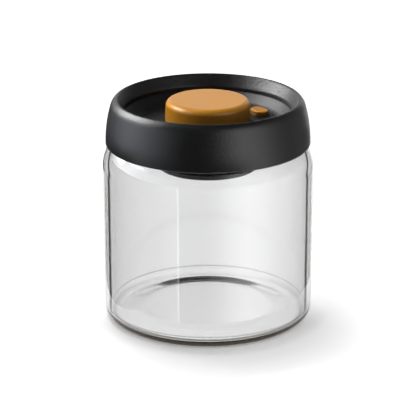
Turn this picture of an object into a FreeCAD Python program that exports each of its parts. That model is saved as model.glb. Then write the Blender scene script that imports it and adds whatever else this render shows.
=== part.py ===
import FreeCAD, Part
import math
import os

# A glass storage jar with a push-pump lid. Pressing the large button draws air out of the jar,
# and the small oval button lets it back in. Millimetres, +Z up, origin under the middle of the foot,
# with the small button towards +X and a little towards +Y.

# Glass jar
jar_radius = 52.5  # outside of the straight wall
jar_wall = 3.0
jar_floor = 3.2  # height of the inside floor
heel_radius = 5.5  # outside round between wall and foot
inner_heel_radius = 2.5
foot_width = 2.0  # flat ring that the jar stands on
foot_recess = 0.75  # how far the middle of the bottom is raised
push_up = 13.0  # width of the gentle slope from the foot up to the middle
body_height = 78.0  # top of the straight wall
shoulder_radius = 20.0
neck_step = 6.5  # how much smaller the neck is than the body, in radius
neck_blend = 4.0  # hollow round from the shoulder into the neck
neck_height = 8.4  # straight neck, up to the top of its rim

# Lid ring, the outer shell of the lid
ring_wall = 2.0
ring_rise = 7.65  # top of the rim above the seam in the dish
ring_edge = 0.9  # round at the skirt's lower outside edge
skirt_room = 3.0  # between the neck and the inside of the skirt
skirt_gap = 0.42  # between the skirt's lower edge and the shoulder
flank_radius = 66.2  # bow of the skirt, upright at its lower edge
crest_round = 7.0  # outside shoulder of the rim
crest_turn_deg = 50.0  # where the shoulder turns into the rim's edge
crest_edge = 1.0  # round of the rim's edge
dish_inset = 3.83  # from the middle of the rim's edge in to the seam
dish_wall_deg = 60.0  # upper wall of the dish, which turns upright above the seam
dish_bend = 1.5  # round where it turns
hook_count = 6
hook_span_deg = 20.0
hook_height = 1.3
hook_gap = 0.5  # between a hook and the neck

# Lid deck, the bowl and floor of the dish
deck_wall = 2.0
rim_gap = 0.2  # between the deck's flange and the rim of the glass
flange_gap = 0.3  # between the flange and the inside of the ring
seam_step = 0.4  # how far the bowl stands in from the ring's wall
seam_round = 0.4
dish_depth = 5.0  # floor of the dish below the seam
dish_slope_deg = 45.0
dish_fillet = 5.0
boss_radius = 2.8
barrel_rim_wall = 0.9  # ring under the deck that centres the barrel
barrel_rim_depth = 2.5
hole_edge = 0.35  # round on the upper edge of the button's hole

# Lid plug, the inner shell that enters the neck
seal_room = 2.5  # between plug and neck, for the gasket
plug_wall = 3.0
plug_floor = 2.0
plug_edge = 1.2  # round at the plug's lower outside edge
groove_land = 1.1  # plug wall left above the gasket's groove
groove_height = 3.4
groove_depth = 0.8

# Jar gasket
gasket_gap = 0.05  # between gasket and groove
lip_gap = 0.15  # between the lips and the neck
gasket_band = 0.9  # how far the gasket's band stands out of its groove
lip_height = 0.8

# Pump button
pump_room = 16.1  # from the button out to the plug's wall, for the barrel, release valve and screws
button_draft = 0.4  # how much smaller the button is at its top
button_rise = 12.0  # top of the button above the floor of the dish
button_edge = 3.0
button_wall = 1.5
button_top = 2.2
button_gap = 0.45  # between the button and its hole
button_boss_radius = 4.0  # boss that the piston is screwed to
button_boss_height = 1.0

# Piston, screwed to the button
stop_lap = 0.85  # how far the piston reaches under the deck
stop_gap = 0.3  # between the piston and the deck at rest
piston_height = 3.2
spigot_wall = 1.4  # ring that centres the button on the piston
spigot_height = 2.0
spigot_gap = 0.1
cup_wall = 1.4  # hollow cup over the spring
cup_top = 1.6
seal_groove_depth = 1.5
seal_groove_height = 1.6

# Piston seal
seal_gap = 0.1  # between seal and groove
seal_fit = 0.05  # between the seal's lip and the bore
seal_lip = 0.5  # thickness of the lip

# Piston screw
piston_screw_radius = 1.3
piston_head_radius = 2.6
piston_head_height = 1.5
piston_screw_depth = 2.2  # how far the screw goes into the button
screw_fit = 0.03  # between a screw and its hole

# Pump barrel
piston_gap = 0.3  # between piston and bore
barrel_wall = 1.4
barrel_floor = 2.0
barrel_skirt = 1.1  # barrel wall below its floor
barrel_lap = 1.8  # flange that rests on the plug
barrel_flange = 2.0
barrel_fit = 0.05
pump_stroke = 10.0
end_gap = 1.3  # between piston and barrel floor when pressed
port_share = 0.22  # radius of a port, as a share of the width of the valve flap that covers it
port_count = 6
joint_round = 0.25  # edges of the joint between barrel and filter cap

# Barrel gasket
barrel_gasket_height = 0.8

# Filter cap and its mesh
cap_floor = 1.5
cap_rise = 0.95  # cap wall above its floor
cap_wall = 1.8
cap_edge = 0.6
cap_spigot_wall = 1.3
cap_spigot_height = 1.9
cap_gap = 0.15
perforation_radius = 0.9
perforation_pitch = 4.0
mesh_height = 0.4
mesh_gap = 0.2

# Intake valve
valve_radius = 3.6
valve_height = 1.1
valve_lip = 0.4
valve_stem_radius = 1.2
valve_stem_gap = 0.05
valve_bulb_radius = 1.8
valve_bulb_height = 1.2

# Pump spring
spring_share = 0.42  # middle of the wire, as a share of the button's radius
spring_wire = 1.2
spring_turns = 7
spring_gap = 0.8  # between spring and cup
seat_gap = 0.05  # between a spring's end and its seat

# Release button
release_room = 5.8  # from the barrel out to the middle of the button
release_azimuth_deg = 31.0
release_length = 11.0
release_width = 7.0
release_rise = 2.3
release_edge = 0.8
release_gap = 0.3
release_flange = 0.7  # lip under the deck that stops the button
release_flange_height = 1.6
release_travel = 2.0
stem_depth = 3.8  # how far the stem goes into the button

# Release stem, bush, seal and clip
stem_radius = 1.4
stem_fit = 0.03
stem_tail = 0.5  # stem below its clip
bush_bore_gap = 0.5  # way for the air round the stem
bush_wall = 1.05
bush_fit = 0.05
bush_flange = 0.45
bush_flange_height = 0.8
release_seal_radius = 4.2
release_seal_height = 1.3
release_seal_gap = 0.05
clip_radius = 2.4
clip_height = 0.8
clip_opening_deg = 70.0

# Release spring
release_spring_radius = 2.2
release_wire = 0.5
release_turns = 5
release_slack = 1.3  # room left between the turns when the release button is down

# Lid screws and their covers
screw_count = 4
screw_gap = 0.9  # between a screw's cup and the plug's wall
screw_lead_deg = 45.0  # turn from the release button to the first screw
screw_radius = 1.1
screw_head_radius = 2.0
screw_head_height = 1.4
screw_depth = 5.0  # how far a screw goes into its boss
screw_cup_wall = 1.0
screw_cup_top = 1.6
cover_height = 0.9
cover_gap = 0.1

# Drawing aids
overrun = 1.0  # how far a cut passes the face that it opens
same_point = 1e-6
full_turn = 360.0
half_turn = 180.0
quarter_turn = 90.0
z_axis = FreeCAD.Vector(0, 0, 1)
middle = FreeCAD.Vector(0, 0, 0)

# Jar outline, worked out: the shoulder's arc meets the neck's hollow round
neck_radius = jar_radius - neck_step
neck_bore = neck_radius - jar_wall
shoulder_r = jar_radius - shoulder_radius
blend_r = neck_radius + neck_blend
blend_rise = math.sqrt((shoulder_radius + neck_blend) ** 2 - (blend_r - shoulder_r) ** 2)
blend_z = body_height + blend_rise
shoulder_deg = math.degrees(math.atan2(blend_rise, blend_r - shoulder_r))
rim_z = blend_z + neck_height

# Heights of the lid, worked out downwards from the seam in the dish
flange_z = rim_z + rim_gap
seam_z = flange_z + deck_wall
dish_z = seam_z - dish_depth
deck_under_z = dish_z - deck_wall
release_spring_length = release_turns * release_wire + release_travel + release_slack
plug_room = stop_gap + release_flange_height + release_spring_length + bush_flange_height
plug_floor_z = deck_under_z - plug_room
plug_bottom_z = plug_floor_z - plug_floor
piston_top_z = deck_under_z - stop_gap
piston_bottom_z = piston_top_z - piston_height
barrel_floor_z = piston_bottom_z - pump_stroke - end_gap
barrel_bottom_z = barrel_floor_z - barrel_floor - barrel_skirt
cap_floor_z = barrel_bottom_z - cap_rise
cap_bottom_z = cap_floor_z - cap_floor
button_top_z = dish_z + button_rise
button_under_z = button_top_z - button_top
top_z = seam_z + ring_rise

# Skirt of the lid ring, worked out
skirt_bore = neck_radius + skirt_room
skirt_radius = skirt_bore + ring_wall
skirt_reach = skirt_bore - skirt_gap - shoulder_r
skirt_z = body_height + math.sqrt(shoulder_radius ** 2 - skirt_reach ** 2)
flank_z = skirt_z + ring_edge
flank_r = skirt_radius - flank_radius
crest_turn = math.radians(crest_turn_deg)
crest_z = top_z - crest_edge
crest_round_z = crest_z - (crest_round - crest_edge) * math.sin(crest_turn)
crest_round_r = flank_r + math.sqrt((flank_radius - crest_round) ** 2 - (crest_round_z - flank_z) ** 2)
crest_r = crest_round_r + (crest_round - crest_edge) * math.cos(crest_turn)
seam_r = crest_r - dish_inset
bowl_r = seam_r - seam_step

# Plug and gasket, worked out inwards from the neck
plug_radius = neck_bore - seal_room
plug_bore = plug_radius - plug_wall
groove_r = plug_radius - groove_depth
groove_top_z = deck_under_z - groove_land
groove_z = groove_top_z - groove_height

# Radii of the pump, worked out: the button fits in the plug, and the rest goes round it or in it
button_radius = plug_bore - pump_room
button_hole = button_radius + button_gap
piston_radius = button_hole + stop_lap
barrel_bore = piston_radius + piston_gap
barrel_radius = barrel_bore + barrel_wall
barrel_rim_bore = barrel_radius + barrel_fit
barrel_flange_z = plug_floor_z + barrel_gasket_height
spring_radius = spring_share * button_radius
port_reach = (valve_radius + valve_stem_radius) / 2
port_radius = port_share * (valve_radius - valve_stem_radius)
cup_bore = spring_radius + spring_wire / 2 + spring_gap
cup_radius = cup_bore + cup_wall
button_bore = button_radius - button_wall
cup_ceiling_z = button_under_z - button_boss_height - cup_top

# Release valve, worked out
release_reach = barrel_radius + release_room
release_top_z = dish_z + release_rise
release_flange_z = deck_under_z - stop_gap
release_under_z = release_flange_z - release_flange_height
stem_top_z = release_under_z + stem_depth
bush_bore = stem_radius + bush_bore_gap
bush_radius = bush_bore + bush_wall
bush_top_z = plug_floor_z + bush_flange_height
release_seal_z = plug_bottom_z - release_seal_gap - release_seal_height
clip_z = release_seal_z - clip_height
stem_bottom_z = clip_z - stem_tail

# Lid screws, worked out
screw_pocket = screw_head_radius + cover_gap
screw_cup_radius = screw_pocket + screw_cup_wall
screw_reach = plug_bore - screw_gap - screw_cup_radius
screw_seat_z = plug_bottom_z + cover_height + screw_head_height
screw_cup_z = screw_seat_z + screw_cup_top
screw_top_z = screw_cup_z + screw_depth


class Outline:
    """A closed outline in the r, z half plane, drawn point by point and then turned about Z."""

    def __init__(self, r, z):
        self.first = FreeCAD.Vector(r, 0, z)
        self.last = self.first
        self.edges = []

    def to(self, r, z):
        """Draws a straight line to a point, unless the pen is there already."""
        point = FreeCAD.Vector(r, 0, z)
        if point.distanceToPoint(self.last) > same_point:
            self.edges.append(Part.LineSegment(self.last, point).toShape())
            self.last = point
        return self

    def arc(self, r, z, radius, start_deg, stop_deg):
        """Draws an arc about the point r, z, after a line to where the arc starts."""
        angles = [math.radians(a) for a in (start_deg, (start_deg + stop_deg) / 2, stop_deg)]
        points = [FreeCAD.Vector(r + radius * math.cos(a), 0, z + radius * math.sin(a)) for a in angles]
        self.to(points[0].x, points[0].z)
        self.edges.append(Part.Arc(*points).toShape())
        self.last = points[-1]
        return self

    def turned(self, angle_deg=full_turn):
        """Closes the outline and turns it about Z into a solid."""
        self.to(self.first.x, self.first.z)
        return Part.Face(Part.Wire(self.edges)).revolve(middle, z_axis, angle_deg)


def tube(outer, inner, bottom, top):
    """A ring about Z between two radii and two heights."""
    return Outline(inner, bottom).to(outer, bottom).to(outer, top).to(inner, top).turned()


def rod(radius, bottom, top):
    """A round bar about Z."""
    return Part.makeCylinder(radius, top - bottom, FreeCAD.Vector(0, 0, bottom))


def around(shape, reach, angles_deg):
    """Copies of a shape, moved out along X and then turned about Z to each angle."""
    copies = []
    for angle in angles_deg:
        copy = shape.copy()
        copy.translate(FreeCAD.Vector(reach, 0, 0))
        copy.rotate(middle, z_axis, angle)
        copies.append(copy)
    return copies


def at_release(shape):
    """Moves a shape from the middle of the lid to the release button's axis."""
    return around(shape, release_reach, [release_azimuth_deg])[0]


def screw_angles():
    first = release_azimuth_deg + screw_lead_deg
    return [first + full_turn * k / screw_count for k in range(screw_count)]


def oval(length, width, bottom, top):
    """An upright bar with two round ends, long along Y."""
    reach = (length - width) / 2
    radius = width / 2
    corner = FreeCAD.Vector(-radius, -reach, bottom)
    bar = Part.makeBox(width, length - width, top - bottom, corner)
    for side in (-reach, reach):
        end = rod(radius, bottom, top)
        end.translate(FreeCAD.Vector(0, side, 0))
        bar = bar.fuse(end)
    return bar.removeSplitter()


def biarc(start, start_way, stop, stop_way):
    """Two arcs that join smoothly and run between two points with given directions there."""
    span = stop - start
    ways = start_way + stop_way
    bend = 2 * (1 - start_way.dot(stop_way))
    across = span.dot(ways)
    reach = (-across + math.sqrt(across ** 2 + bend * span.dot(span))) / bend
    first_corner = start + start_way * reach
    second_corner = stop - stop_way * reach
    joint = (first_corner + second_corner) * 0.5
    arcs = []
    for begin, corner, end in ((start, first_corner, joint), (joint, second_corner, stop)):
        weight = (end - begin).Length / (2 * reach)
        halfway = (begin + corner * (2 * weight) + end) * (1 / (2 + 2 * weight))
        arcs.append(Part.Arc(begin, halfway, end).toShape())
    return arcs


def coil(name, radius, wire, turns, bottom, top):
    """A helical spring between two seats, as one unbroken wire, with its least gap printed."""
    low = bottom + seat_gap + wire / 2
    high = top - seat_gap - wire / 2
    pitch = (high - low) / turns
    climb = math.atan2(pitch, 2 * math.pi * radius)

    def place(turn):
        angle = 2 * math.pi * turn
        return FreeCAD.Vector(radius * math.cos(angle), radius * math.sin(angle), low + pitch * turn)

    def way(turn):
        angle = 2 * math.pi * turn
        flat = math.cos(climb)
        return FreeCAD.Vector(-math.sin(angle) * flat, math.cos(angle) * flat, math.sin(climb))

    stops = [k / 4 for k in range(4 * turns + 1)]
    arcs = []
    for begin, end in zip(stops, stops[1:]):
        arcs += biarc(place(begin), way(begin), place(end), way(end))
    points = [point for arc in arcs for point in arc.discretize(3)[:-1]]
    per_turn = len(points) // turns
    gaps = [a.distanceToPoint(b) for i, a in enumerate(points) for b in points[i + per_turn // 2:]]
    print(name, "least gap between turns", round(min(gaps) - wire, 3))
    section = Part.Wire(Part.Circle(place(0), way(0), wire / 2).toShape())
    return Part.Wire(arcs).makePipeShell([section], True, False)


def glass_jar():
    foot_r = jar_radius - heel_radius - foot_width
    jar = Outline(0, foot_recess).to(foot_r - push_up, foot_recess).to(foot_r, 0)
    jar.arc(jar_radius - heel_radius, heel_radius, heel_radius, -quarter_turn, 0)
    jar.arc(shoulder_r, body_height, shoulder_radius, 0, shoulder_deg)
    jar.arc(blend_r, blend_z, neck_blend, half_turn + shoulder_deg, half_turn)
    jar.arc(neck_radius - jar_wall / 2, rim_z - jar_wall / 2, jar_wall / 2, 0, half_turn)
    jar.arc(blend_r, blend_z, neck_blend + jar_wall, half_turn, half_turn + shoulder_deg)
    jar.arc(shoulder_r, body_height, shoulder_radius - jar_wall, shoulder_deg, 0)
    inner_r = jar_radius - jar_wall - inner_heel_radius
    jar.arc(inner_r, jar_floor + inner_heel_radius, inner_heel_radius, 0, -quarter_turn)
    return jar.to(0, jar_floor).turned()


def ring_inside(z):
    """Radius of the lid ring's inner face at a height."""
    return flank_r + math.sqrt((flank_radius - ring_wall) ** 2 - (z - flank_z) ** 2)


def wall_turn_z(depth):
    """Height at which the dish wall turns upright, seen at a depth below its surface."""
    slope = math.radians(dish_wall_deg)
    across = crest_edge - depth + (seam_r + depth - crest_r) * math.sin(slope)
    return crest_z + across / math.cos(slope)


def lid_ring():
    slope = math.radians(dish_wall_deg)
    facing_deg = quarter_turn + dish_wall_deg
    flank_deg = math.degrees(math.asin((crest_round_z - flank_z) / (flank_radius - crest_round)))
    ring = Outline(skirt_bore, skirt_z)
    ring.arc(skirt_radius - ring_edge, flank_z, ring_edge, -quarter_turn, 0)
    ring.arc(flank_r, flank_z, flank_radius, 0, flank_deg)
    ring.arc(crest_round_r, crest_round_z, crest_round, flank_deg, crest_turn_deg)
    ring.arc(crest_r, crest_z, crest_edge, crest_turn_deg, facing_deg)
    ring.arc(seam_r + dish_bend, wall_turn_z(dish_bend), dish_bend, facing_deg, half_turn)
    # The back of the dish wall runs up into the inside of the skirt
    under_r = seam_r + ring_wall
    under_z = wall_turn_z(ring_wall)
    inside_radius = flank_radius - ring_wall
    aside = (under_r - flank_r) * math.sin(slope) - (under_z - flank_z) * math.cos(slope)
    corner_deg = dish_wall_deg - math.degrees(math.asin(aside / inside_radius))
    ring.to(seam_r, seam_z).to(under_r, seam_z).to(under_r, under_z)
    ring.arc(flank_r, flank_z, inside_radius, corner_deg, 0)
    ring = ring.turned()
    # Hooks on the ring's inside catch under the deck's flange
    hook_bottom = flange_z - hook_height
    in_wall = ring_inside(flange_z) + ring_wall / 2
    hook_r = neck_radius + hook_gap
    hook = Outline(hook_r, hook_bottom).to(in_wall, hook_bottom).to(in_wall, flange_z).to(hook_r, flange_z)
    hook = hook.turned(hook_span_deg)
    hooks = around(hook, 0, [full_turn * k / hook_count for k in range(hook_count)])
    return ring.fuse(hooks).removeSplitter()


def lid_deck():
    slope = math.radians(dish_slope_deg)
    half = math.tan(slope / 2)
    bowl_centre_r = bowl_r - dish_depth / math.tan(slope) - dish_fillet * half
    bowl_centre_z = dish_z + dish_fillet
    slope_end_deg = dish_slope_deg - quarter_turn
    flange_r = ring_inside(seam_z) - flange_gap
    under_r = bowl_r + deck_wall * half
    deck = Outline(button_hole, deck_under_z)
    deck.arc(button_hole + hole_edge, dish_z - hole_edge, hole_edge, half_turn, quarter_turn)
    deck.arc(bowl_centre_r, bowl_centre_z, dish_fillet, -quarter_turn, slope_end_deg)
    round_r = bowl_r + seam_round * half
    deck.arc(round_r, seam_z - seam_round, seam_round, quarter_turn + dish_slope_deg, quarter_turn)
    deck.to(flange_r, seam_z).to(flange_r, flange_z).to(under_r, flange_z)
    deck.arc(bowl_centre_r, bowl_centre_z, dish_fillet + deck_wall, slope_end_deg, -quarter_turn)
    deck = deck.turned()
    in_floor = deck_under_z + deck_wall / 2
    bosses = around(rod(boss_radius, screw_cup_z, in_floor), screw_reach, screw_angles())
    rim = tube(barrel_rim_bore + barrel_rim_wall, barrel_rim_bore, deck_under_z - barrel_rim_depth, in_floor)
    deck = deck.fuse(bosses + [rim]).removeSplitter()
    pilot = rod(screw_radius + screw_fit, screw_cup_z - overrun, screw_top_z)
    pilots = around(pilot, screw_reach, screw_angles())
    hole = oval(release_length + 2 * release_gap, release_width + 2 * release_gap,
                deck_under_z - overrun, dish_z + overrun)
    return deck.cut(pilots + [at_release(hole)])


def lid_plug():
    plug = Outline(barrel_rim_bore, plug_bottom_z)
    plug.arc(plug_radius - plug_edge, plug_bottom_z + plug_edge, plug_edge, -quarter_turn, 0)
    plug.to(plug_radius, groove_z).to(groove_r, groove_z)
    plug.to(groove_r, groove_top_z).to(plug_radius, groove_top_z)
    plug.to(plug_radius, deck_under_z).to(plug_bore, deck_under_z)
    plug.to(plug_bore, plug_floor_z).to(barrel_rim_bore, plug_floor_z)
    plug = plug.turned()
    cup = rod(screw_cup_radius, plug_bottom_z + plug_floor / 2, screw_cup_z)
    plug = plug.fuse(around(cup, screw_reach, screw_angles())).removeSplitter()
    pocket = rod(screw_pocket, plug_bottom_z - overrun, screw_seat_z)
    shank = rod(screw_radius + screw_fit, plug_bottom_z, screw_cup_z + overrun)
    holes = around(pocket.fuse(shank), screw_reach, screw_angles())
    port = rod(bush_radius + bush_fit, plug_bottom_z - overrun, plug_floor_z + overrun)
    return plug.cut(holes + [at_release(port)])


def jar_gasket():
    inner_r = groove_r + gasket_gap
    band_r = plug_radius + gasket_band
    lip_r = neck_bore - lip_gap
    bottom = groove_z + gasket_gap
    top = groove_top_z - gasket_gap
    # Each lip slants upwards, and the band between them stands clear of the glass
    lean = lip_r - band_r
    gasket = Outline(inner_r, bottom).to(band_r, bottom)
    gasket.to(lip_r, bottom + lean / 2).to(lip_r, bottom + lean / 2 + lip_height / 2)
    gasket.to(band_r, bottom + lip_height)
    gasket.to(band_r, top - lip_height - lean / 2).to(lip_r, top - lip_height / 2).to(lip_r, top)
    return gasket.to(inner_r, top).turned()


def pump_barrel():
    under_floor = barrel_floor_z - barrel_floor
    flange_r = barrel_radius + barrel_lap
    skirt_r = barrel_radius - cap_wall
    barrel = Outline(0, under_floor).to(skirt_r, under_floor).to(skirt_r, barrel_bottom_z)
    round_r = barrel_radius - joint_round
    barrel.arc(round_r, barrel_bottom_z + joint_round, joint_round, -quarter_turn, 0)
    barrel.to(barrel_radius, barrel_flange_z).to(flange_r, barrel_flange_z)
    flange_top = barrel_flange_z + barrel_flange
    barrel.to(flange_r, flange_top).to(barrel_radius, flange_top)
    barrel.to(barrel_radius, deck_under_z).to(barrel_bore, deck_under_z)
    barrel = barrel.to(barrel_bore, barrel_floor_z).to(0, barrel_floor_z).turned()
    stem_hole = rod(valve_stem_radius + valve_stem_gap, under_floor - overrun, barrel_floor_z + overrun)
    port = rod(port_radius, under_floor - overrun, barrel_floor_z + overrun)
    ports = around(port, port_reach, [full_turn * k / port_count for k in range(port_count)])
    return barrel.cut(ports + [stem_hole])


def barrel_gasket():
    return tube(barrel_radius + barrel_lap, barrel_rim_bore, plug_floor_z, barrel_flange_z)


def filter_cap():
    spigot_r = barrel_radius - cap_wall - cap_gap
    spigot_bore = spigot_r - cap_spigot_wall
    spigot_top = cap_floor_z + cap_spigot_height
    cap = Outline(0, cap_bottom_z)
    cap.arc(barrel_radius - cap_edge, cap_bottom_z + cap_edge, cap_edge, -quarter_turn, 0)
    cap.arc(barrel_radius - joint_round, barrel_bottom_z - joint_round, joint_round, 0, quarter_turn)
    cap.to(spigot_r, barrel_bottom_z).to(spigot_r, spigot_top)
    cap.to(spigot_bore, spigot_top).to(spigot_bore, cap_floor_z)
    cap = cap.to(0, cap_floor_z).turned()
    hole = rod(perforation_radius, cap_bottom_z - overrun, cap_floor_z + overrun)
    holes = [hole]
    rings = int((spigot_bore - perforation_pitch / 2) / perforation_pitch)
    for ring in range(1, rings + 1):
        count = 6 * ring
        holes += around(hole, perforation_pitch * ring, [full_turn * k / count for k in range(count)])
    return cap.cut(holes)


def filter_mesh():
    spigot_bore = barrel_radius - cap_wall - cap_gap - cap_spigot_wall
    return rod(spigot_bore - mesh_gap, cap_floor_z, cap_floor_z + mesh_height)


def intake_valve():
    under_floor = barrel_floor_z - barrel_floor
    bulb_z = under_floor - valve_bulb_height
    valve = Outline(0, bulb_z).to(valve_stem_radius, bulb_z)
    valve.to(valve_bulb_radius, under_floor).to(valve_stem_radius, under_floor)
    valve.to(valve_stem_radius, barrel_floor_z).to(valve_radius, barrel_floor_z)
    top = barrel_floor_z + valve_height
    valve.to(valve_radius, barrel_floor_z + valve_lip).to(valve_stem_radius, top)
    return valve.to(0, top).turned()


def pump_button():
    side_deg = math.degrees(math.atan2(button_draft, button_top_z - piston_top_z))
    centre_r = button_radius - button_draft - button_edge
    centre_z = button_top_z - button_edge
    inner_edge = button_edge - button_wall
    boss_z = cup_ceiling_z + cup_top
    screw_r = piston_screw_radius + screw_fit
    button = Outline(button_bore, piston_top_z).to(button_radius, piston_top_z)
    button.arc(centre_r, centre_z, button_edge, side_deg, quarter_turn)
    button.to(0, button_top_z).to(0, boss_z + piston_screw_depth).to(screw_r, boss_z + piston_screw_depth)
    button.to(screw_r, boss_z).to(button_boss_radius, boss_z).to(button_boss_radius, button_under_z)
    inner_r = button_bore - button_draft
    button.arc(inner_r - inner_edge, button_under_z - inner_edge, inner_edge, quarter_turn, side_deg)
    return button.turned()


def piston():
    spigot_r = button_bore - spigot_gap
    spigot_bore = spigot_r - spigot_wall
    spigot_top = piston_top_z + spigot_height
    groove_bottom = (piston_top_z + piston_bottom_z - seal_groove_height) / 2
    groove_top = groove_bottom + seal_groove_height
    ceiling_top = cup_ceiling_z + cup_top
    hole_r = piston_screw_radius + screw_fit
    shape = Outline(cup_bore, piston_bottom_z).to(piston_radius, piston_bottom_z)
    shape.to(piston_radius, groove_bottom).to(piston_radius - seal_groove_depth, groove_bottom)
    shape.to(piston_radius - seal_groove_depth, groove_top).to(piston_radius, groove_top)
    shape.to(piston_radius, piston_top_z).to(spigot_r, piston_top_z)
    shape.to(spigot_r, spigot_top).to(spigot_bore, spigot_top).to(spigot_bore, piston_top_z)
    shape.to(cup_radius, piston_top_z).to(cup_radius, ceiling_top).to(hole_r, ceiling_top)
    return shape.to(hole_r, cup_ceiling_z).to(cup_bore, cup_ceiling_z).turned()


def piston_seal():
    bottom = (piston_top_z + piston_bottom_z - seal_groove_height) / 2 + seal_gap
    top = bottom + seal_groove_height - 2 * seal_gap
    inner_r = piston_radius - seal_groove_depth + seal_gap
    lip_r = barrel_bore - seal_fit
    # A lip that opens downwards holds air below it and lets it past on the way down
    root_r = lip_r - seal_lip
    seal = Outline(inner_r, bottom).to(root_r - seal_lip, bottom).to(root_r - seal_lip, top - seal_lip)
    seal.to(lip_r - seal_lip, bottom).to(lip_r, bottom)
    return seal.to(root_r, top).to(inner_r, top).turned()


def piston_screw():
    head_z = cup_ceiling_z - piston_head_height
    top = cup_ceiling_z + cup_top + piston_screw_depth
    return rod(piston_head_radius, head_z, cup_ceiling_z).fuse(rod(piston_screw_radius, cup_ceiling_z, top))


def pump_spring():
    size = (spring_radius, spring_wire, spring_turns)
    return coil("pump_spring", *size, barrel_floor_z, cup_ceiling_z)


def release_button():
    body = oval(release_length, release_width, release_under_z, release_top_z)
    rim = [edge for edge in body.Edges if edge.BoundBox.ZMin > release_top_z - same_point]
    body = body.makeFillet(release_edge, rim)
    length = release_length + 2 * (release_gap + release_flange)
    width = release_width + 2 * (release_gap + release_flange)
    body = body.fuse(oval(length, width, release_under_z, release_flange_z)).removeSplitter()
    return at_release(body.cut(rod(stem_radius + stem_fit, release_under_z - overrun, stem_top_z)))


def release_stem():
    return at_release(rod(stem_radius, stem_bottom_z, stem_top_z))


def release_bush():
    bush = Outline(bush_bore, plug_bottom_z).to(bush_radius, plug_bottom_z).to(bush_radius, plug_floor_z)
    bush.to(bush_radius + bush_flange, plug_floor_z).to(bush_radius + bush_flange, bush_top_z)
    return at_release(bush.to(bush_bore, bush_top_z).turned())


def release_seal():
    top = release_seal_z + release_seal_height
    return at_release(tube(release_seal_radius, stem_radius + stem_fit, release_seal_z, top))


def release_clip():
    ring = Outline(stem_radius + stem_fit, clip_z).to(clip_radius, clip_z)
    ring.to(clip_radius, release_seal_z).to(stem_radius + stem_fit, release_seal_z)
    return at_release(ring.turned(full_turn - clip_opening_deg))


def release_spring():
    size = (release_spring_radius, release_wire, release_turns)
    return at_release(coil("release_spring", *size, bush_top_z, release_under_z))


def lid_screws():
    head = rod(screw_head_radius, screw_seat_z - screw_head_height, screw_seat_z)
    screw = head.fuse(rod(screw_radius, screw_seat_z, screw_top_z))
    return Part.makeCompound(around(screw, screw_reach, screw_angles()))


def screw_plugs():
    cover = rod(screw_head_radius, plug_bottom_z, plug_bottom_z + cover_height)
    return Part.makeCompound(around(cover, screw_reach, screw_angles()))


pieces = [
    glass_jar, lid_ring, lid_deck, lid_plug, jar_gasket, pump_barrel, barrel_gasket, filter_cap, filter_mesh,
    intake_valve, pump_button, piston, piston_seal, piston_screw, pump_spring, release_button, release_stem,
    release_bush, release_seal, release_clip, release_spring, lid_screws, screw_plugs,
]

os.makedirs("parts", exist_ok=True)
for make in pieces:
    shape = make()
    shape.exportStep("parts/" + make.__name__ + ".step")
    state = "valid" if shape.isValid() else "not valid"
    print(make.__name__, state, len(shape.Solids), round(shape.Volume, 1))
print("overall height", round(top_z, 2), "pump stroke", pump_stroke, "release travel", release_travel)
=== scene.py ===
# %% [markdown]
# # A vacuum seal canister
# A thick glass jar with a black push-pump lid. The large amber button draws the air out, stroke by stroke,
# and the small amber button lets it back in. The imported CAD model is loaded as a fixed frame. Pieces whose
# shape is right stay and get a finish, and the others are made again here, in the same place. Blender counts
# in metres; a size in millimetres says so in its name or its cell.

# %% Load the frame
import math
import bpy
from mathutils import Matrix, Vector


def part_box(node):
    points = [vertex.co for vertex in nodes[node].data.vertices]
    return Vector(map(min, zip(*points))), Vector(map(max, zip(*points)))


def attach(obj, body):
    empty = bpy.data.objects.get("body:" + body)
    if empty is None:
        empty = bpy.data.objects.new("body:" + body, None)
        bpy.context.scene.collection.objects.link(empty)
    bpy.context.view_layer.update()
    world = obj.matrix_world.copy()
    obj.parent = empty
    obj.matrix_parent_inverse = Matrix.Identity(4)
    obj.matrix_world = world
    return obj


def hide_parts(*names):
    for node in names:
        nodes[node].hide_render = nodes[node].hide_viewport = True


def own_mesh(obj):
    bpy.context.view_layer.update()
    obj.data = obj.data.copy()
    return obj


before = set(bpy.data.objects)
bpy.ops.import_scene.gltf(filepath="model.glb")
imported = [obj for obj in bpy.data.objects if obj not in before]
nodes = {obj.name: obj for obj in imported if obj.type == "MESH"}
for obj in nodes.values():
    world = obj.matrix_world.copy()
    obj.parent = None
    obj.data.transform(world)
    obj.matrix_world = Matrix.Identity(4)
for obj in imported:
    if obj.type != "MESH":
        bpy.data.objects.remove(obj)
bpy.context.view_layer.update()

millimetre = 0.001


# %% [markdown]
# ## Sums with sockets
# Blender's materials and Geometry Nodes are both trees of nodes joined by links. Built by hand in Python,
# a sum takes four lines for each node. Two small classes make it read like a sum on paper: a Flow stands
# for what comes out of a socket, and a Tree adds any kind of node with one method.

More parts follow.
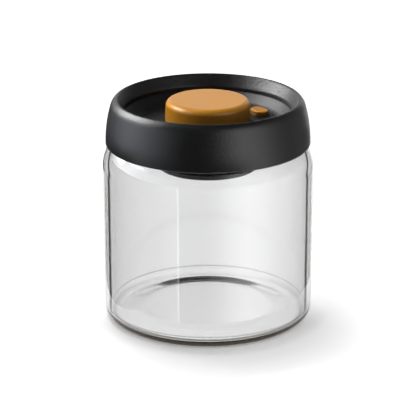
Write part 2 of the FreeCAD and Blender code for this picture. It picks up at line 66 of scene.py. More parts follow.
# %% A Flow, which can be added, multiplied and so on
class Flow:
    """What comes out of one socket. The signs of arithmetic put Math nodes into its tree."""

    def __init__(self, tree, socket):
        self.tree = tree
        self.socket = socket

    def out(self, name):
        """Another output of the same node."""
        return Flow(self.tree, self.socket.node.outputs[name])

    def sum_with(self, operation, first, second):
        return self.tree.add("ShaderNodeMath", {"operation": operation}, {0: first, 1: second})

    def apply(self, operation, other=0.0):
        """A Math node that has no sign in Python, such as a square root."""
        return self.sum_with(operation, self, other)

    def __add__(self, other):
        return self.sum_with("ADD", self, other)

    def __radd__(self, other):
        return self.sum_with("ADD", other, self)

    def __sub__(self, other):
        return self.sum_with("SUBTRACT", self, other)

    def __rsub__(self, other):
        return self.sum_with("SUBTRACT", other, self)

    def __mul__(self, other):
        return self.sum_with("MULTIPLY", self, other)

    def __rmul__(self, other):
        return self.sum_with("MULTIPLY", other, self)

    def __truediv__(self, other):
        return self.sum_with("DIVIDE", self, other)

    def __rtruediv__(self, other):
        return self.sum_with("DIVIDE", other, self)

    def __mod__(self, other):
        return self.sum_with("MODULO", self, other)

    def __rmod__(self, other):
        return self.sum_with("MODULO", other, self)


# %% A Tree, which adds nodes
def fill_ramp(ramp, stops):
    """Gives a colour ramp its stops, as pairs of a place from 0 to 1 and a colour."""
    while len(ramp.elements) < len(stops):
        ramp.elements.new(1.0)
    for element, (place, colour) in zip(ramp.elements, stops):
        element.position = place
        element.color = colour


class Tree:
    """A node tree, with one method, add, for a node of any kind, and short ways to the most common ones."""

    def __init__(self, node_tree):
        self.node_tree = node_tree

    def add(self, kind, settings=None, sockets=None, out=0):
        """Adds a node, sets its settings, feeds its sockets and returns one of its outputs."""
        node = self.node_tree.nodes.new(kind)
        for name, value in (settings or {}).items():
            if name == "stops":
                fill_ramp(node.color_ramp, value)
            else:
                setattr(node, name, value)
        for key, value in (sockets or {}).items():
            self.feed(node.inputs[key], value)
        return Flow(self, node.outputs[out]) if node.outputs else node

    def feed(self, socket, value):
        """Links a Flow to a socket, or each of a list of them, or types a plain value into it."""
        if isinstance(value, list):
            for each in value:
                self.feed(socket, each)
        elif isinstance(value, Flow):
            self.node_tree.links.new(value.socket, socket)
        else:
            socket.default_value = value

    def parts(self, vector):
        """The X of a vector. Its Y and Z are other outputs of the same node."""
        return self.add("ShaderNodeSeparateXYZ", {}, {0: vector})

    def vector(self, **sockets):
        """A vector from its X, Y and Z. Those that aren't given are 0."""
        return self.add("ShaderNodeCombineXYZ", {}, sockets)

    def ramp(self, stops, value):
        """The colour that a list of stops has at a value from 0 to 1."""
        return self.add("ShaderNodeValToRGB", {"stops": stops}, {"Fac": value})


# %% [markdown]
# ## What the finishes share
# Every finish reads Object coordinates, which are metres in the canister's own frame, so a grain of a
# quarter of a millimetre has that size on every piece. Most finishes are one Principled shader: the numbers
# that are the same all over are typed into its sockets, and only what varies is linked.

# %% Helpers for finishes
class Finish(Tree):
    """A material, and the patterns that the finishes share."""

    def __init__(self, name):
        self.material = bpy.data.materials.new(name)
        self.material.use_nodes = True
        super().__init__(self.material.node_tree)
        self.node_tree.nodes.clear()
        self.place = self.add("ShaderNodeTexCoord", out="Object")

    def noise(self, size_mm, detail, stretch=None):
        """Soft random clouds, from 0 to 1, with blotches of about the given size."""
        place = self.place
        if stretch:
            place = self.add("ShaderNodeMapping", {}, {"Vector": place, "Scale": stretch})
        sockets = {"Vector": place, "Scale": 1 / (size_mm * millimetre), "Detail": detail}
        return self.add("ShaderNodeTexNoise", {"noise_dimensions": "3D"}, sockets)

    def radius(self):
        """The distance from the canister's upright axis, in metres."""
        x = self.parts(self.place)
        y = x.out("Y")
        return (x * x + y * y).apply("SQRT")

    def step(self, value, start_mm, stop_mm):
        """Goes smoothly from 0 to 1 while a length goes from start to stop."""
        sockets = {"Value": value, "From Min": start_mm * millimetre, "From Max": stop_mm * millimetre}
        return self.add("ShaderNodeMapRange", {"interpolation_type": "SMOOTHSTEP"}, sockets)

    def blend(self, share, first, second, way="MIX"):
        """A colour between two others, or with the way MULTIPLY their product."""
        settings = {"data_type": "RGBA", "blend_type": way}
        return self.add("ShaderNodeMix", settings, {0: share, 6: first, 7: second}, out=2)

    def bump(self, height, depth_mm, strength):
        """Normals that lean as if the surface had these heights."""
        sockets = {"Height": height, "Distance": depth_mm * millimetre, "Strength": strength}
        return self.add("ShaderNodeBump", {}, sockets)

    def shade(self, sockets):
        """Adds a Principled shader and ends the tree."""
        return self.end({"Surface": self.add("ShaderNodeBsdfPrincipled", {}, sockets)})

    def end(self, shaders):
        self.add("ShaderNodeOutputMaterial", {}, shaders)
        print("finish", self.material.name, "with", len(self.node_tree.nodes), "nodes")
        return self.material


# %% [markdown]
# ## Clear glass
# The jar is blown borosilicate glass, three millimetres thick. Its look is all reflection and refraction, so
# the shader is full transmission. That alone looks too clean, so five small things are added to it.
# - Handling leaves a faint film, which shows as patches of very slightly rougher glass.
# - Seen at a slant, light runs a longer way through the wall. A ramp over the facing angle greys the glass
#   all over and darkens it towards the edge. That is painted shade, in part also standing for the longer
#   way.
# - Inside the glass, a ray that meets the surface at more than 43 degrees can't leave it and is turned back.
#   Just there the real jar shows a fine dark line along each edge, which is the dark studio. A narrow ramp
#   paints it as shade, with a dark shader, on the back of the surface only.
# - Where the inside wall bends into the floor, light is thrown aside and a thin grey line runs round. It is
#   painted shade, a ring at one height, on the inner surface only.
# - Glass is a little brown in depth, which shows in the foot, where the way through it is longest.

# %% Ramps of the glass
def grey(level, warmth=0.0):
    """A grey, or with some warmth a brownish one."""
    return (level * (1 + warmth), level, level * (1 - warmth), 1.0)


# From 0 where the glass faces the eye to 1 where it is seen at a full slant.
# Painted shade: the glass greyer than clear glass all over, and darker towards its edges.
slant_shade_stops = [
    (0.0, grey(0.855)), (0.1, grey(0.85)), (0.2, grey(0.832)), (0.3, grey(0.822)), (0.45, grey(0.78)),
    (0.53, grey(0.75)), (0.66, grey(0.68)), (0.77, grey(0.615)), (0.9, grey(0.5, 0.03)),
    (1.0, grey(0.4, 0.05)),
]
# Painted shade: a fine dark line along each edge, where the dark studio is turned back inside.
edge_shade_stops = [
    (0.0, grey(0.0)), (0.262, grey(0.0)), (0.266, grey(0.95)), (0.272, grey(0.95)), (0.278, grey(0.0)),
]
# From 0 at the ground to 1 at the height of corner_span, in millimetres.
corner_span = 10.0
# Painted shade: a thin grey ring where the inside wall bends into the floor.
corner_shade_stops = [
    (0.0, grey(0.0)), (0.52, grey(0.0)), (0.55, grey(0.36)), (0.585, grey(0.36)), (0.615, grey(0.0)),
]
print("the grey line begins", corner_shade_stops[1][0] * corner_span, "mm above the ground")


# %% Clear glass
glass_index = 1.47
film_roughness = 0.006
# In millimetres, like all the sizes of the jar. What is nearer to the axis than mid_wall is the inside.
jar_low, jar_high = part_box("glass_jar")
jar_radius = round((jar_high[0] - jar_low[0]) / 2 / millimetre, 2)
jar_wall = 3.0
mid_wall = jar_radius - jar_wall / 2


def clear_glass():
    finish = Finish("clear_glass")
    film = finish.noise(size_mm=22.0, detail=3.0)
    facing = finish.add("ShaderNodeLayerWeight", {}, {"Blend": 0.5}, out="Facing")
    clean = finish.blend(film, (0.964, 0.971, 0.980, 1.0), (0.986, 0.993, 1.0, 1.0))
    # Painted shade: the ramp greys the glass and darkens it at a slant.
    shaded_tint = finish.blend(1.0, clean, finish.ramp(slant_shade_stops, facing), "MULTIPLY")
    clear = finish.add("ShaderNodeBsdfPrincipled", {}, {
        "Base Color": shaded_tint, "Roughness": film * film_roughness, "IOR": glass_index,
        "Transmission Weight": 1.0,
    })
    behind = finish.add("ShaderNodeNewGeometry", out="Backfacing")
    # Painted shade: the dark line along each edge, on back faces only.
    edge_shade_line = finish.ramp(edge_shade_stops, facing) * behind
    height = finish.parts(finish.place).out("Z")
    within = finish.radius().apply("LESS_THAN", mid_wall * millimetre)
    # Painted shade: the grey ring at one height, on the inner surface only.
    corner_shade_line = finish.ramp(corner_shade_stops, height / (corner_span * millimetre)) * within
    lines = edge_shade_line.apply("MAXIMUM", corner_shade_line)
    # The dark shader that paints both lines of shade.
    dark = finish.add("ShaderNodeBsdfDiffuse", {}, {"Color": (0.05, 0.042, 0.035, 1.0)})
    surface = finish.add("ShaderNodeMixShader", {}, {0: lines, 1: clear, 2: dark})
    brown = {"Color": (0.67, 0.55, 0.41, 1.0), "Density": 15.0}
    depth = finish.add("ShaderNodeVolumeAbsorption", {}, brown)
    return finish.end({"Surface": surface, "Volume": depth})


glass = clear_glass()


# %% [markdown]
# ## Textured black plastic
# The lid's ring and deck come from moulds with a spark-eroded skin: matte, with a leathery grain of about a
# millimetre that catches the light. It is too fine to be worth a mesh, so it is a bump from three sizes of
# noise, and slow clouds keep the gloss from being the same everywhere. Inside the dish the grain is deeper,
# on the ring and the deck alike, so the depth follows the distance from the axis and not the piece. The deck
# is only a little duller.

# %% Textured black plastic
dish_edge_mm = 47.0
dish_wall_mm = 45.0
extra_grain_in_dish = 1.6


def textured_plastic(name, roughness):
    finish = Finish(name)
    coarse = finish.noise(size_mm=1.1, detail=1.0)
    medium = finish.noise(size_mm=0.4, detail=1.0)
    fine = finish.noise(size_mm=0.15, detail=1.0)
    in_dish = finish.step(finish.radius(), dish_edge_mm, dish_wall_mm)
    grain = (coarse * 0.6 + medium * 0.3 + fine * 0.1) * (1 + in_dish * extra_grain_in_dish)
    cloud = finish.noise(size_mm=14.0, detail=3.0)
    colour = finish.blend(cloud, (0.0062, 0.0064, 0.0070, 1.0), (0.0092, 0.0094, 0.0099, 1.0))
    return finish.shade({
        "Base Color": colour, "Roughness": roughness + cloud * 0.08, "Specular IOR Level": 0.36,
        "Normal": finish.bump(grain, depth_mm=0.13, strength=0.8),
    })


lid_plastic = textured_plastic("black_textured_plastic", roughness=0.3)
deck_plastic = textured_plastic("black_deck_plastic", roughness=0.4)


# %% [markdown]
# ## Amber plastic
# Both buttons are moulded in the same amber plastic with a satin face. One flat colour would look painted
# on, so it runs between two close ambers in slow clouds, and a faint grain softens what it reflects. A thin
# clear coat on top gives the bright line along the rounded edge.

# %% Amber plastic
def amber_plastic():
    finish = Finish("amber_plastic")
    cloud = finish.noise(size_mm=9.0, detail=3.0)
    grain = finish.noise(size_mm=0.3, detail=1.0)
    colour = finish.blend(cloud, (0.52, 0.215, 0.0105, 1.0), (0.565, 0.24, 0.013, 1.0))
    return finish.shade({
        "Base Color": colour, "Roughness": 0.33 + cloud * 0.08, "Specular IOR Level": 0.35,
        "Normal": finish.bump(grain, depth_mm=0.008, strength=0.35),
        "Coat Weight": 0.12, "Coat Roughness": 0.2,
    })


amber = amber_plastic()


# %% [markdown]
# ## The other plastics
# The filter cap at the end of the pump is polished black. The barrel above it is as smooth, but reflects
# very little, so that the joint line between the two shows through the glass. Polished mouldings still show
# how the plastic flowed, as long faint waves, which a stretched noise gives. The pieces inside are plain
# satin black.

# %% Gloss plastic and inner plastic
def gloss_plastic(name, gloss):
    finish = Finish(name)
    flow = finish.noise(size_mm=12.0, detail=2.0, stretch=(1.0, 1.0, 0.4))
    colour = finish.blend(flow, (0.0055, 0.0055, 0.006, 1.0), (0.009, 0.009, 0.0095, 1.0))
    return finish.shade({
        "Base Color": colour, "Roughness": 0.12 + flow * 0.06, "Specular IOR Level": gloss,
        "Normal": finish.bump(flow, depth_mm=0.05, strength=0.2),
    })


def inner_plastic():
    finish = Finish("black_inner_plastic")
    cloud = finish.noise(size_mm=7.0, detail=3.0)
    grain = finish.noise(size_mm=0.35, detail=1.0)
    colour = finish.blend(cloud, (0.010, 0.010, 0.0105, 1.0), (0.016, 0.016, 0.0165, 1.0))
    return finish.shade({
        "Base Color": colour, "Roughness": 0.36 + cloud * 0.12,
        "Normal": finish.bump(grain, depth_mm=0.012, strength=0.4),
    })


cap_plastic = gloss_plastic("black_gloss_plastic", gloss=0.5)
barrel_plastic = gloss_plastic("black_barrel_plastic", gloss=0.08)
hidden_plastic = inner_plastic()


# %% [markdown]
# ## Silicone
# The seals are milky silicone. A plain white would look like chalk, so subsurface scattering lets a little
# light in below the surface. A fine noise in the roughness is the dust that silicone always gathers.

# %% Silicone
def silicone():
    finish = Finish("silicone")
    cloud = finish.noise(size_mm=5.0, detail=3.0)
    dust = finish.noise(size_mm=0.6, detail=2.0)
    colour = finish.blend(cloud, (0.66, 0.655, 0.63, 1.0), (0.74, 0.735, 0.71, 1.0))
    return finish.shade({
        "Base Color": colour, "Roughness": 0.44 + dust * 0.14,
        "Normal": finish.bump(dust, depth_mm=0.015, strength=0.3),
        "Subsurface Weight": 0.35, "Subsurface Radius": (0.004, 0.0036, 0.003), "Subsurface Scale": 0.5,
    })


seal_rubber = silicone()


# %% [markdown]
# ## Metals
# The springs are drawn stainless wire, with fine marks from the die. The screws are zinc plated, which
# leaves a patchy, duller surface, and the gauze is dull woven wire. All three differ only in colour, in
# roughness and in the size of their marks, so one function makes them.

# %% Metals
def steel(name, dark, light, roughness, spread, marks_mm, stretch=None):
    """A metal whose marks run between two colours and spread its roughness."""
    finish = Finish(name)
    marks = finish.noise(marks_mm, detail=3.0, stretch=stretch)
    colour = finish.blend(marks, dark, light)
    return finish.shade({
        "Base Color": colour, "Metallic": 1.0, "Roughness": roughness + marks * spread,
        "Normal": finish.bump(marks, depth_mm=0.01, strength=0.25),
    })


wire_steel = steel(
    "spring_steel", dark=(0.50, 0.49, 0.47, 1.0), light=(0.66, 0.65, 0.63, 1.0),
    roughness=0.16, spread=0.18, marks_mm=1.2, stretch=(1, 1, 4),
)
zinc_steel = steel(
    "screw_steel", dark=(0.52, 0.53, 0.54, 1.0), light=(0.70, 0.70, 0.69, 1.0),
    roughness=0.26, spread=0.22, marks_mm=0.9,
)
gauze_steel = steel(
    "filter_gauze", dark=(0.45, 0.45, 0.44, 1.0), light=(0.62, 0.61, 0.60, 1.0),
    roughness=0.22, spread=0.2, marks_mm=0.5,
)


# %% [markdown]
# ## A finish for every piece
# Each CAD piece comes with a slot that names its material. The slot gets the finish of that name. The barrel
# and the deck have finishes of their own, because they look a little different from the pieces that share
# their material.

# %% A finish for every piece
finishes = {
    "clear_glass": glass, "black_textured_plastic": lid_plastic, "black_gloss_plastic": cap_plastic,
    "black_inner_plastic": hidden_plastic, "amber_plastic": amber, "silicone": seal_rubber,
    "spring_steel": wire_steel, "screw_steel": zinc_steel, "filter_gauze": gauze_steel,
}
for node in nodes.values():
    slot = node.material_slots[0]
    slot.material = finishes[slot.material.name.split(".")[0]]
nodes["pump_barrel"].material_slots[0].material = barrel_plastic
nodes["lid_deck"].material_slots[0].material = deck_plastic
used = {node.material_slots[0].material.name for node in nodes.values()}
print("finished", len(nodes), "pieces in", len(used), "finishes")


# %% [markdown]
# ## Growing a mesh with Geometry Nodes
# A tree of Geometry Nodes is a recipe with named sizes. The helper below puts a tree on an object, sets
# the sizes, and keeps only the mesh that comes out, because the export wants plain meshes.

# %% Helpers for Geometry Nodes
class Recipe(Tree):
    """A tree of Geometry Nodes with named inputs."""

    kinds = {int: "NodeSocketInt", float: "NodeSocketFloat", "material": "NodeSocketMaterial"}

    def __init__(self, name, sizes):
        super().__init__(bpy.data.node_groups.new(name, "GeometryNodeTree"))
        face = self.node_tree.interface
        face.new_socket("Geometry", in_out="INPUT", socket_type="NodeSocketGeometry")
        self.inputs = {}
        for size, kind in {**sizes, "Material": "material"}.items():
            socket = face.new_socket(size, in_out="INPUT", socket_type=self.kinds[kind])
            self.inputs[size] = socket.identifier
        face.new_socket("Geometry", in_out="OUTPUT", socket_type="NodeSocketGeometry")
        self.start = self.add("NodeGroupInput", out="Geometry")

    def size(self, name):
        return self.start.out(name)

    def circle(self, steps, radius):
        """A flat ring, to sweep or to sweep along."""
        return self.add("GeometryNodeCurvePrimitiveCircle", {}, {"Resolution": steps, "Radius": radius})

    def finish(self, geometry):
        """Ends the tree: instances become real, and the finish is set."""
        real = self.add("GeometryNodeRealizeInstances", {}, {0: geometry})
        smooth = self.add("GeometryNodeSetShadeSmooth", {}, {0: real})
        done = self.add("GeometryNodeSetMaterial", {}, {0: smooth, "Material": self.size("Material")})
        self.add("NodeGroupOutput", {}, {0: done})

    def grow(self, name, material, sizes, points=()):
        """Runs the recipe on a row of points and returns a plain mesh object."""
        mesh = bpy.data.meshes.new(name)
        mesh.from_pydata(points, [(k, k + 1) for k in range(len(points) - 1)], [])
        piece = bpy.data.objects.new(name, mesh)
        bpy.context.scene.collection.objects.link(piece)
        modifier = piece.modifiers.new("recipe", "NODES")
        modifier.node_group = self.node_tree
        for size, value in {**sizes, "Material": material}.items():
            modifier[self.inputs[size]] = value
        ready = piece.evaluated_get(bpy.context.evaluated_depsgraph_get())
        grown = bpy.data.meshes.new_from_object(ready)
        piece.modifiers.clear()
        piece.data = grown
        grown.name = name
        print(name, "has", len(grown.vertices), "points and", len(grown.polygons), "faces")
        return piece


# %% [markdown]
# ## The glass jar
# A jar like this is blown into a turning mould, so every level of it is a circle. A recipe can do what the
# lathe does: take an outline of points in the r, z plane and turn it. A grid with one row for each point of
# the outline is rolled up, and its seam and its two poles are closed. Blown glass is never quite even
# inside, so the rows of the inner wall carry a small ripple, which is what makes the dark edge lines wander.
#
# Each point of the outline has its radius as X, its height as Z, and as Y the share of the ripple that it
# takes.

# %% A recipe that turns an outline
full_turn = 2 * math.pi
same_place = 1e-6


def turning_recipe():
    sizes = {"Steps round": int, "Ripple height": float, "Ripple size": float, "Seed": int}
    recipe = Recipe("turned", sizes)
    outline = recipe.start
    steps = recipe.size("Steps round")
    count = {"component": "MESH"}
    rows = recipe.add("GeometryNodeAttributeDomainSize", count, {0: outline}, out="Point Count")
    grid = {"Vertices X": steps + 1, "Vertices Y": rows}
    sheet = recipe.add("GeometryNodeMeshGrid", {}, grid, out="Mesh")
    index = recipe.add("GeometryNodeInputIndex")
    place = recipe.add("GeometryNodeInputPosition")
    by_point = {"data_type": "FLOAT_VECTOR", "domain": "POINT"}
    in_row = {0: outline, "Value": place, "Index": index % rows}
    radius = recipe.parts(recipe.add("GeometryNodeSampleIndex", by_point, in_row))
    may_ripple, height = radius.out("Y"), radius.out("Z")
    angle = (index / rows).apply("FLOOR") / steps * full_turn
    across, along = angle.apply("COSINE"), angle.apply("SINE")
    around = recipe.vector(X=radius * across, Y=radius * along, Z=height)
    noise = recipe.add("ShaderNodeTexNoise", {"noise_dimensions": "4D"}, {
        "Vector": around, "W": recipe.size("Seed"), "Scale": 1 / recipe.size("Ripple size"), "Detail": 1.0,
    })
    rippled = radius + (noise - 0.5) * may_ripple * recipe.size("Ripple height")
    rolled = recipe.vector(X=rippled * across, Y=rippled * along, Z=height)
    turned = recipe.add("GeometryNodeSetPosition", {}, {0: sheet, "Position": rolled})
    recipe.finish(recipe.add("GeometryNodeMergeByDistance", {}, {0: turned, "Distance": same_place}))
    return recipe


turning = turning_recipe()
print("recipe", turning.node_tree.name, "takes", ", ".join(turning.inputs))


# %% A pen for outlines
class Outline:
    """Points of an outline in millimetres, each with its radius, its share of the ripple and its height."""

    def __init__(self):
        self.points = []

    def to(self, radius, height, ripple=0.0, pieces=1):
        """A straight run, divided into pieces."""
        if not self.points:
            self.points.append((radius, ripple, height))
            return
        r, _, z = self.points[-1]
        for k in range(1, pieces + 1):
            share = k / pieces
            self.points.append((r + (radius - r) * share, ripple, z + (height - z) * share))

    def arc(self, radius, height, reach, start_deg, stop_deg, step_deg=6.0):
        """An arc about a point, drawn from one angle to another."""
        pieces = max(2, round(abs(stop_deg - start_deg) / step_deg))
        for k in range(pieces + 1):
            angle = math.radians(start_deg + (stop_deg - start_deg) * k / pieces)
            self.points.append((radius + reach * math.cos(angle), 0.0, height + reach * math.sin(angle)))

    def metres(self):
        return [(r * millimetre, ripple, z * millimetre) for r, ripple, z in self.points]


# %% Sizes of the jar, in millimetres
jar_floor = 3.2
heel_radius = 5.5
inner_heel_radius = 2.5
foot_width = 2.0
foot_recess = 0.75
push_up = 13.0
body_height = 78.0
shoulder_radius = 20.0
neck_radius = 46.0
neck_blend = 4.0
neck_height = 8.4
print("the jar is", 2 * jar_radius, "mm across and its wall", jar_wall, "mm thick")


# %% [markdown]
# The underside rises a little towards the middle, so that the jar stands on a narrow ring. Where that slope
# is steep enough, at the back of the floor, light from below is turned back inside the glass, and a dark
# crescent shows. A slope that comes and goes smoothly gives the crescent soft ends, so the rise follows a
# curve whose steepness is greatest half way.
#
# The straight wall ends a millimetre short of each bend. The short row between them keeps the bend's shading
# from spreading over the wall.

# %% Outline of the jar
short_row = 1
wall_rows = 26
push_rows = 16


def smooth_fall(share):
    """Goes from 0 to 1 with its ends level and its steepest place half way."""
    across = 2 * share - 1
    return (5 * (across + 1) - across ** 5 - 1) / 8


def jar_outline():
    shoulder_r = jar_radius - shoulder_radius
    blend_r = neck_radius + neck_blend
    rise = math.sqrt((shoulder_radius + neck_blend) ** 2 - (blend_r - shoulder_r) ** 2)
    blend_z = body_height + rise
    lean = math.degrees(math.atan2(rise, blend_r - shoulder_r))
    rim = jar_wall / 2
    rim_z = blend_z + neck_height
    heel_r = jar_radius - heel_radius
    foot_r = heel_r - foot_width
    inner_r = jar_radius - jar_wall - inner_heel_radius
    inner_z = jar_floor + inner_heel_radius
    jar = Outline()
    jar.to(0.0, foot_recess)
    jar.to(foot_r - push_up, foot_recess, pieces=4)
    for share in [k / push_rows for k in range(1, push_rows + 1)]:
        jar.to(foot_r - push_up * (1 - share), foot_recess * (1 - smooth_fall(share)))
    jar.arc(heel_r, heel_radius, heel_radius, -90, 0)
    jar.to(jar_radius, body_height - short_row, pieces=wall_rows)
    jar.arc(shoulder_r, body_height, shoulder_radius, 0, lean, step_deg=4.0)
    jar.arc(blend_r, blend_z, neck_blend, 180 + lean, 180)
    jar.arc(neck_radius - rim, rim_z - rim, rim, 0, 180, step_deg=12.0)
    jar.arc(blend_r, blend_z, neck_blend + jar_wall, 180, 180 + lean)
    jar.arc(shoulder_r, body_height, shoulder_radius - jar_wall, lean, 0, step_deg=4.0)
    jar.to(jar_radius - jar_wall, inner_z + short_row, ripple=1.0, pieces=wall_rows)
    jar.arc(inner_r, inner_z, inner_heel_radius, 0, -90, step_deg=9.0)
    jar.to(0.0, jar_floor, pieces=8)
    return jar.metres()


jar_points = jar_outline()
jar_top = max(z for _, _, z in jar_points)
print("the outline has", len(jar_points), "points and is", round(jar_top / millimetre, 2), "mm tall")


# %% The jar
jar_crease_deg = 35
jar_sizes = {
    "Steps round": 200, "Ripple height": 0.05 * millimetre, "Ripple size": 20 * millimetre, "Seed": 3,
}
jar_piece = turning.grow("jar_glass", glass, jar_sizes, jar_points)
jar_piece.data.set_sharp_from_angle(angle=math.radians(jar_crease_deg))
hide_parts("glass_jar")
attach(jar_piece, "jar")


# %% [markdown]
# ## Springs
# A spring shortens as its button goes down, which a stiff CAD solid can't do. A Screw modifier could wind
# one, but a recipe has its sizes as named inputs and serves both springs: it winds a line of points into a
# coil and sweeps a round wire along it. The coil stays with the lid.

# %% A recipe that winds a coil
spring_wire_sides = 12


def winding_recipe():
    sizes = {"Coil radius": float, "Wire radius": float, "Turns": float, "Bottom": float, "Top": float,
             "Middle X": float, "Middle Y": float, "Points": int}
    recipe = Recipe("wound", sizes)
    coil, wire = recipe.size("Coil radius"), recipe.size("Wire radius")
    line = recipe.add("GeometryNodeCurvePrimitiveLine")
    line = recipe.add("GeometryNodeResampleCurve", {}, {0: line, "Count": recipe.size("Points")})
    share = recipe.add("GeometryNodeSplineParameter", out="Factor")
    angle = share * recipe.size("Turns") * full_turn
    low = recipe.size("Bottom") + wire
    high = recipe.size("Top") - wire
    place = recipe.vector(
        X=recipe.size("Middle X") + angle.apply("COSINE") * coil,
        Y=recipe.size("Middle Y") + angle.apply("SINE") * coil,
        Z=low + share * (high - low),
    )
    path = recipe.add("GeometryNodeSetPosition", {}, {0: line, "Position": place})
    section = recipe.circle(spring_wire_sides, wire)
    recipe.finish(recipe.add("GeometryNodeCurveToMesh", {}, {0: path, 1: section, "Fill Caps": True}))
    return recipe


winding = winding_recipe()
print("recipe", winding.node_tree.name, "takes", ", ".join(winding.inputs))


# %% Two springs
spring_crease_deg = 50
points_a_turn = 48


def wind_spring(name, node, turns, wire_mm):
    """Winds a coil into the box of a CAD spring, hides that spring and hangs the coil on the lid."""
    low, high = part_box(node)
    middle = [(a + b) / 2 for a, b in zip(low, high)]
    wire = wire_mm * millimetre / 2
    sizes = {"Coil radius": (high[1] - low[1]) / 2 - wire, "Wire radius": wire, "Turns": float(turns),
             "Bottom": low[2], "Top": high[2], "Middle X": middle[0], "Middle Y": middle[1],
             "Points": points_a_turn * turns + 1}
    coil = winding.grow(name, wire_steel, sizes)
    coil.data.set_sharp_from_angle(angle=math.radians(spring_crease_deg))
    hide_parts(node)
    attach(coil, "lid")
    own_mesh(coil)


wind_spring("pump_coil", "pump_spring", turns=7, wire_mm=1.2)
wind_spring("release_coil", "release_spring", turns=5, wire_mm=0.5)


# %% [markdown]
# ## Filter gauze
# Behind the holes of the filter cap lies a disc of woven steel wire. A pattern on a flat disc would do from
# afar, but seen close the wires have to be there. A wire that goes over and under is a wave, and the next
# wire is the same wave half a step on. One family of wires is laid on a row of points, cut to the disc by
# its own scale, and turned over and round for the other family. A ring of wire hems them.

# %% A recipe that weaves a disc
gauze_wire_sides = 5
hem_steps = 120


def weaving_recipe():
    sizes = {"Disc radius": float, "Pitch": float, "Wire radius": float, "Height": float, "Wires": int,
             "Points": int, "Middle Z": float}
    recipe = Recipe("woven", sizes)
    disc, pitch, wires = recipe.size("Disc radius"), recipe.size("Pitch"), recipe.size("Wires")
    first = recipe.vector(Y=(wires - 1) * pitch * -0.5)
    step = recipe.vector(Y=pitch)
    row = recipe.add("GeometryNodeMeshLine", {}, {"Count": wires, "Start Location": first, "Offset": step})
    along = recipe.parts(recipe.add("GeometryNodeInputPosition"))
    beside = along.out("Y")
    chord = (disc * disc - beside * beside).apply("SQRT")
    stretch = recipe.vector(X=chord, Y=1.0, Z=1.0)
    line = recipe.add("GeometryNodeCurvePrimitiveLine", {}, {"Start": (-1, 0, 0), "End": (1, 0, 0)})
    line = recipe.add("GeometryNodeResampleCurve", {}, {0: line, "Count": recipe.size("Points")})
    laid = recipe.add("GeometryNodeInstanceOnPoints", {}, {0: row, "Instance": line, "Scale": stretch})
    laid = recipe.add("GeometryNodeRealizeInstances", {}, {0: laid})
    wave = ((along + beside) / pitch * math.pi).apply("COSINE") * recipe.size("Height")
    laid = recipe.add("GeometryNodeSetPosition", {}, {0: laid, "Offset": recipe.vector(Z=wave)})
    section = recipe.circle(gauze_wire_sides, recipe.size("Wire radius"))
    wefts = recipe.add("GeometryNodeCurveToMesh", {}, {0: laid, 1: section, "Fill Caps": True})
    over_and_round = (math.pi, 0.0, math.pi / 2)
    warps = recipe.add("GeometryNodeTransform", {}, {0: wefts, "Rotation": over_and_round})
    hem = recipe.add("GeometryNodeCurveToMesh", {}, {0: recipe.circle(hem_steps, disc), 1: section})
    disc_mesh = recipe.add("GeometryNodeJoinGeometry", {}, {0: [wefts, warps, hem]})
    lift = recipe.vector(Z=recipe.size("Middle Z"))
    recipe.finish(recipe.add("GeometryNodeTransform", {}, {0: disc_mesh, "Translation": lift}))
    return recipe


weaving = weaving_recipe()
print("recipe", weaving.node_tree.name, "takes", ", ".join(weaving.inputs))


# %% The gauze
gauze_pitch = 1.1 * millimetre
gauze_wire = 0.19 * millimetre
gauze_slack = 0.98


def weave_gauze():
    """Weaves a disc into the box of the CAD one, with the wires a little looser than it."""
    low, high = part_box("filter_mesh")
    disc = (high[0] - low[0]) / 2 - gauze_wire / 2
    wave = (high[2] - low[2] - gauze_wire) / 2 * gauze_slack
    sizes = {"Disc radius": disc, "Pitch": gauze_pitch, "Wire radius": gauze_wire / 2, "Height": wave,
             "Wires": 2 * int(disc / gauze_pitch) + 1, "Points": 110, "Middle Z": (low[2] + high[2]) / 2}
    gauze = weaving.grow("gauze_weave", gauze_steel, sizes)
    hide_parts("filter_mesh")
    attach(gauze, "lid")


weave_gauze()


# %% [markdown]
# ## Floor
# The canister stands on a plain pale floor. Light that falls through clear glass on to a floor is bent and
# gathered on the way, which takes a renderer very long to find. A faint glow of the floor stands in for it:
# full under the jar, very weak in the narrow ring where the foot shuts light out, and half as strong
# outside. The weak ring is the contact shadow and the thin dark line round the base. It is a little narrower
# from left to right than a circle, and it softens towards the back, where more light comes in.

# %% Glow of the floor
# From 0 at the middle of the ring to 1 at glow_span, in millimetres.
glow_span = 100.0
glow_stops = [
    (0.0, grey(1.0)), (0.475, grey(1.0)), (0.489, grey(0.085, 0.2)), (0.512, grey(0.15, 0.15)),
    (0.537, grey(0.31)), (0.58, grey(0.34)), (0.64, grey(0.445)), (0.8, grey(0.455)),
]
back_glow_stops = [
    (0.0, grey(1.0)), (0.46, grey(1.0)), (0.5, grey(0.62)), (0.55, grey(0.5)), (0.64, grey(0.445)),
    (0.8, grey(0.455)),
]
ring_middle = (0.0, 0.0022, 0.0)
ring_squeeze = (1.025, 1.0, 1.0)
front_mm = -24.0
back_mm = 12.0
print("the ring is darkest", glow_stops[2][0] * glow_span, "mm from its middle")


